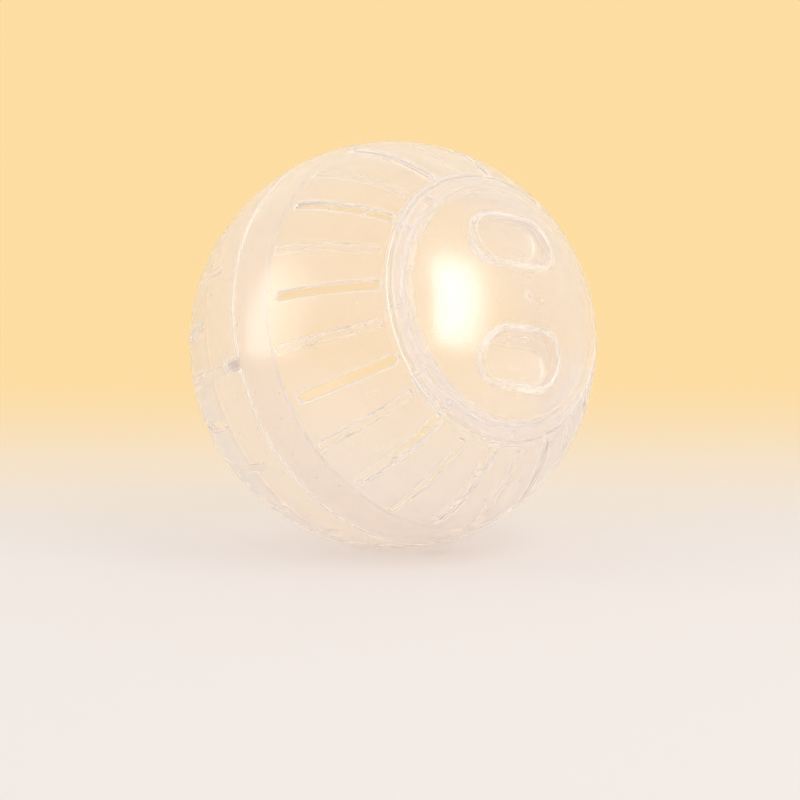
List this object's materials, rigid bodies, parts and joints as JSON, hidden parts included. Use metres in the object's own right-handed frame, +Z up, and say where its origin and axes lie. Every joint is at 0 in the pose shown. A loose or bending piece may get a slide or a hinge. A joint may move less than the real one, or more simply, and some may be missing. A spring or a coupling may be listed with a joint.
{
  "type": "hamster ball",
  "caption": "Clear hollow exercise ball for a hamster: slotted half shells with inner tread ribs, joined at a lapped seam, and a round bayonet door with finger recesses.",
  "frame": {"origin": "centre of the ball", "axes": "+Z up as the ball rests on a floor; the door faces -Y and its axis, which is the ball's axis, lies in the YZ plane 18.9 degrees above the floor; +X to the right of someone facing the door"},
  "size_m": [0.12, 0.1196, 0.12],
  "materials": {
    "clear_shell": "clear gloss, faintly milky",
    "clear_lid": "clear gloss, faintly milky"
  },
  "bodies": {
    "rear_half": {"rear_half_shell": "clear_shell"},
    "front_half": {"front_half_shell": "clear_shell"},
    "lid": {"lid": "clear_lid"}
  },
  "joints": [
    {"name": "halves_pull_apart", "type": "slide", "parent": "rear_half", "child": "front_half", "axis": [0, -0.9461, 0.3239], "range_m": [0, 0.08]},
    {"name": "lid_lift_off", "type": "slide", "parent": "front_half", "child": "lid", "axis": [0, -0.9461, 0.3239], "range_m": [0, 0.06]}
  ]
}
